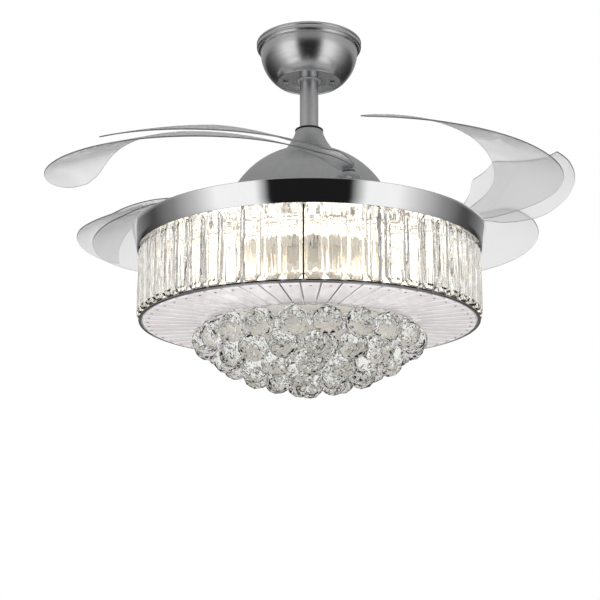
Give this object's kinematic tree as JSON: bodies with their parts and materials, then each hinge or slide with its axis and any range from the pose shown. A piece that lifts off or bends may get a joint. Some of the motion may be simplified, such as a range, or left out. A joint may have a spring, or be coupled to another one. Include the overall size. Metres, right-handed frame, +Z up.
{
  "type": "retractable blade ceiling fan",
  "caption": "Ceiling fan whose clear blades swing out over a crystal lamp drum, hung from a grooved canopy on a short rod.",
  "frame": {"origin": "centre of the hanger bracket's face against the ceiling", "axes": "+Z up into the ceiling, the rod and motor axis along -Z; the picture looks along +Y from below"},
  "size_m": [0.6992, 0.6992, 0.5292],
  "materials": {
    "zinc_steel": "zinc plated, satin",
    "brushed_nickel": "brushed nickel",
    "satin_grey": "satin grey metallic",
    "chrome": "polished mirror",
    "black_rubber": "matte",
    "black_plastic": "matte",
    "white_plastic": "matte",
    "copper": "enamelled copper wire",
    "laminated_steel": "laminated",
    "magnet": "sintered",
    "white_steel": "satin white",
    "clear_plastic": "clear, polished",
    "crystal": "cut crystal",
    "frosted": "frosted"
  },
  "bodies": {
    "ceiling_mount": {"hanger_bracket": "zinc_steel", "receiver": "black_plastic", "terminal_block": "white_plastic", "canopy": "brushed_nickel", "canopy_screw_left": "zinc_steel", "canopy_screw_right": "zinc_steel"},
    "hanging_frame": {"hanger_ball": "black_plastic", "ball_pin": "zinc_steel", "downrod": "brushed_nickel", "coupling_pin": "zinc_steel", "motor_coupling": "zinc_steel", "rod_gasket": "black_rubber", "coupling_cover": "satin_grey", "motor_shaft": "zinc_steel", "upper_bearing": "zinc_steel", "lower_bearing": "zinc_steel", "stator_core": "laminated_steel", "stator_windings": "copper", "shaft_spacer": "zinc_steel", "shaft_nut": "zinc_steel", "base_plate": "white_steel", "chrome_band": "chrome", "drum_frame": "white_steel", "trim_ring": "chrome", "led_board": "white_plastic", "led_driver": "white_plastic", "diffuser_plate": "frosted", "prism_curtain": "crystal", "crystal_strips": "crystal", "ball_tier_1": "crystal", "ball_tier_2": "crystal", "ball_tier_3": "crystal", "ball_tier_4": "crystal", "ball_tier_5": "crystal"},
    "rotor": {"motor_dome": "satin_grey", "rotor_plate": "zinc_steel", "magnet_ring": "magnet", "blade_carrier": "zinc_steel", "pivot_pin_1": "zinc_steel", "pivot_pin_2": "zinc_steel", "pivot_pin_3": "zinc_steel", "pivot_pin_4": "zinc_steel", "return_spring_1": "zinc_steel", "return_spring_2": "zinc_steel", "return_spring_3": "zinc_steel", "return_spring_4": "zinc_steel"},
    "main_blade_1": {"main_leaf_1": "clear_plastic"},
    "auxiliary_blade_1": {"auxiliary_leaf_1": "clear_plastic"},
    "main_blade_2": {"main_leaf_2": "clear_plastic"},
    "auxiliary_blade_2": {"auxiliary_leaf_2": "clear_plastic"},
    "main_blade_3": {"main_leaf_3": "clear_plastic"},
    "auxiliary_blade_3": {"auxiliary_leaf_3": "clear_plastic"},
    "main_blade_4": {"main_leaf_4": "clear_plastic"},
    "auxiliary_blade_4": {"auxiliary_leaf_4": "clear_plastic"}
  },
  "joints": [
    {"name": "ball_tilt", "type": "hinge", "parent": "ceiling_mount", "child": "hanging_frame", "pos_m": [0, 0, -0.044], "axis": [1, 0, 0], "range_deg": [-12, 12]},
    {"name": "rotor_spin", "type": "hinge", "parent": "hanging_frame", "child": "rotor", "pos_m": [0, 0, -0.2], "axis": [0, 0, 1], "continuous": true},
    {"name": "main_swing_1", "type": "hinge", "parent": "rotor", "child": "main_blade_1", "pos_m": [0.04969, -0.18546, -0.2625], "axis": [0, 0, 1], "range_deg": [-47, 15]},
    {"name": "auxiliary_swing_1", "type": "hinge", "parent": "rotor", "child": "auxiliary_blade_1", "pos_m": [0.04969, -0.18546, -0.2625], "axis": [0, 0, 1], "range_deg": [-47.41, 15.14]},
    {"name": "main_swing_2", "type": "hinge", "parent": "rotor", "child": "main_blade_2", "pos_m": [0.18546, 0.04969, -0.2625], "axis": [0, 0, 1], "range_deg": [-47, 15]},
    {"name": "auxiliary_swing_2", "type": "hinge", "parent": "rotor", "child": "auxiliary_blade_2", "pos_m": [0.18546, 0.04969, -0.2625], "axis": [0, 0, 1], "range_deg": [-47.41, 15.14]},
    {"name": "main_swing_3", "type": "hinge", "parent": "rotor", "child": "main_blade_3", "pos_m": [-0.04969, 0.18546, -0.2625], "axis": [0, 0, 1], "range_deg": [-47, 15]},
    {"name": "auxiliary_swing_3", "type": "hinge", "parent": "rotor", "child": "auxiliary_blade_3", "pos_m": [-0.04969, 0.18546, -0.2625], "axis": [0, 0, 1], "range_deg": [-47.41, 15.14]},
    {"name": "main_swing_4", "type": "hinge", "parent": "rotor", "child": "main_blade_4", "pos_m": [-0.18546, -0.04969, -0.2625], "axis": [0, 0, 1], "range_deg": [-47, 15]},
    {"name": "auxiliary_swing_4", "type": "hinge", "parent": "rotor", "child": "auxiliary_blade_4", "pos_m": [-0.18546, -0.04969, -0.2625], "axis": [0, 0, 1], "range_deg": [-47.41, 15.14]}
  ],
  "couplings": [
    {"joint": "auxiliary_swing_1", "follows": "main_swing_1", "ratio": 1.0085},
    {"joint": "main_swing_2", "follows": "main_swing_1", "ratio": 1},
    {"joint": "auxiliary_swing_2", "follows": "main_swing_1", "ratio": 1.0085},
    {"joint": "main_swing_3", "follows": "main_swing_1", "ratio": 1},
    {"joint": "auxiliary_swing_3", "follows": "main_swing_1", "ratio": 1.0085},
    {"joint": "main_swing_4", "follows": "main_swing_1", "ratio": 1},
    {"joint": "auxiliary_swing_4", "follows": "main_swing_1", "ratio": 1.0085}
  ]
}
